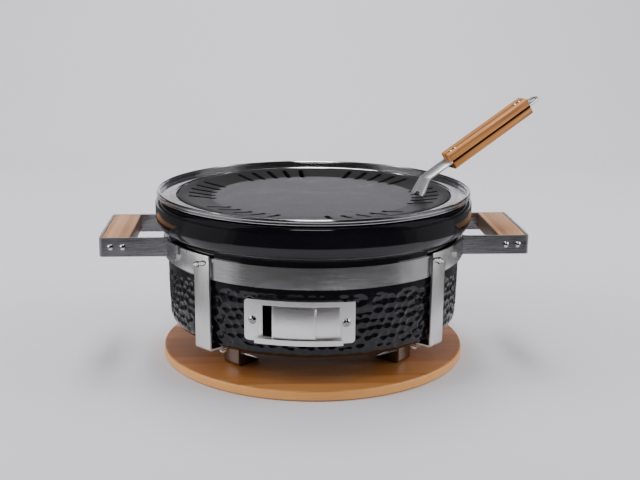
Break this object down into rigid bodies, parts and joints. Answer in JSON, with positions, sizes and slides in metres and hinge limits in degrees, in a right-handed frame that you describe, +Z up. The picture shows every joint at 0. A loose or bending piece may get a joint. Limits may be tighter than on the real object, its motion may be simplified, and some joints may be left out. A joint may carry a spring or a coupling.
{
  "type": "hibachi grill",
  "caption": "Round table-top charcoal hibachi: glazed ceramic bowl in a steel frame with bamboo grips, sliding vent, slotted iron plate, lifter and bamboo board.",
  "frame": {"origin": "middle of the bamboo board's underside, which rests on the table", "axes": "+Z up, +X along both handles towards the right one, -Y towards the vent at the front"},
  "size_m": [0.4932, 0.3514, 0.2837],
  "materials": {
    "board_bamboo": "oiled bamboo strips, satin",
    "grip_bamboo": "sanded bamboo, satin",
    "lifter_wood": "oiled bamboo, satin",
    "black_glaze": "thick black gloss glaze",
    "grate_iron": "raw cast iron",
    "plate_iron": "satin black enamelled cast iron",
    "frame_steel": "fine lengthwise brushing",
    "vent_steel": "fine crosswise brushing",
    "ring_steel": "turned and polished",
    "lifter_steel": "coarse satin",
    "bright_steel": "bright stainless"
  },
  "bodies": {
    "board": {"bamboo_board": "board_bamboo"},
    "grill": {"ceramic_body": "black_glaze", "band": "frame_steel", "side_frame_left": "frame_steel", "side_frame_right": "frame_steel", "handle_bracket_left": "frame_steel", "handle_bracket_right": "frame_steel", "handle_grip_left": "grip_bamboo", "handle_grip_right": "grip_bamboo", "handle_rivets": "bright_steel", "foot_front_left": "frame_steel", "foot_front_right": "frame_steel", "foot_rear_left": "frame_steel", "foot_rear_right": "frame_steel", "foot_screws": "bright_steel", "foot_nuts": "bright_steel", "vent_frame": "vent_steel", "vent_fixed_panel": "vent_steel", "vent_screws": "bright_steel"},
    "vent_slider": {"vent_door": "vent_steel"},
    "grate": {"charcoal_grate": "grate_iron"},
    "ring": {"trim_ring": "ring_steel"},
    "plate": {"griddle_plate": "plate_iron"},
    "lifter": {"lifter_blade": "lifter_steel", "lifter_scale_upper": "lifter_wood", "lifter_scale_lower": "lifter_wood", "lifter_rivets": "bright_steel"}
  },
  "joints": [
    {"name": "grill_lift", "type": "slide", "parent": "board", "child": "grill", "axis": [0, 0, 1], "range_m": [0, 0.12]},
    {"name": "door_slide", "type": "hinge", "parent": "grill", "child": "vent_slider", "pos_m": [0, 0, 0.081], "axis": [0, 0, 1], "range_deg": [-3.6, 7]},
    {"name": "grate_lift", "type": "slide", "parent": "grill", "child": "grate", "axis": [0, 0, 1], "range_m": [0, 0.055]},
    {"name": "ring_lift", "type": "slide", "parent": "grill", "child": "ring", "axis": [0, 0, 1], "range_m": [0, 0.1]},
    {"name": "plate_lift", "type": "slide", "parent": "ring", "child": "plate", "axis": [0, 0, 1], "range_m": [0, 0.08]},
    {"name": "lifter_lift", "type": "slide", "parent": "plate", "child": "lifter", "axis": [0, 0, 1], "range_m": [0, 0.08]}
  ]
}
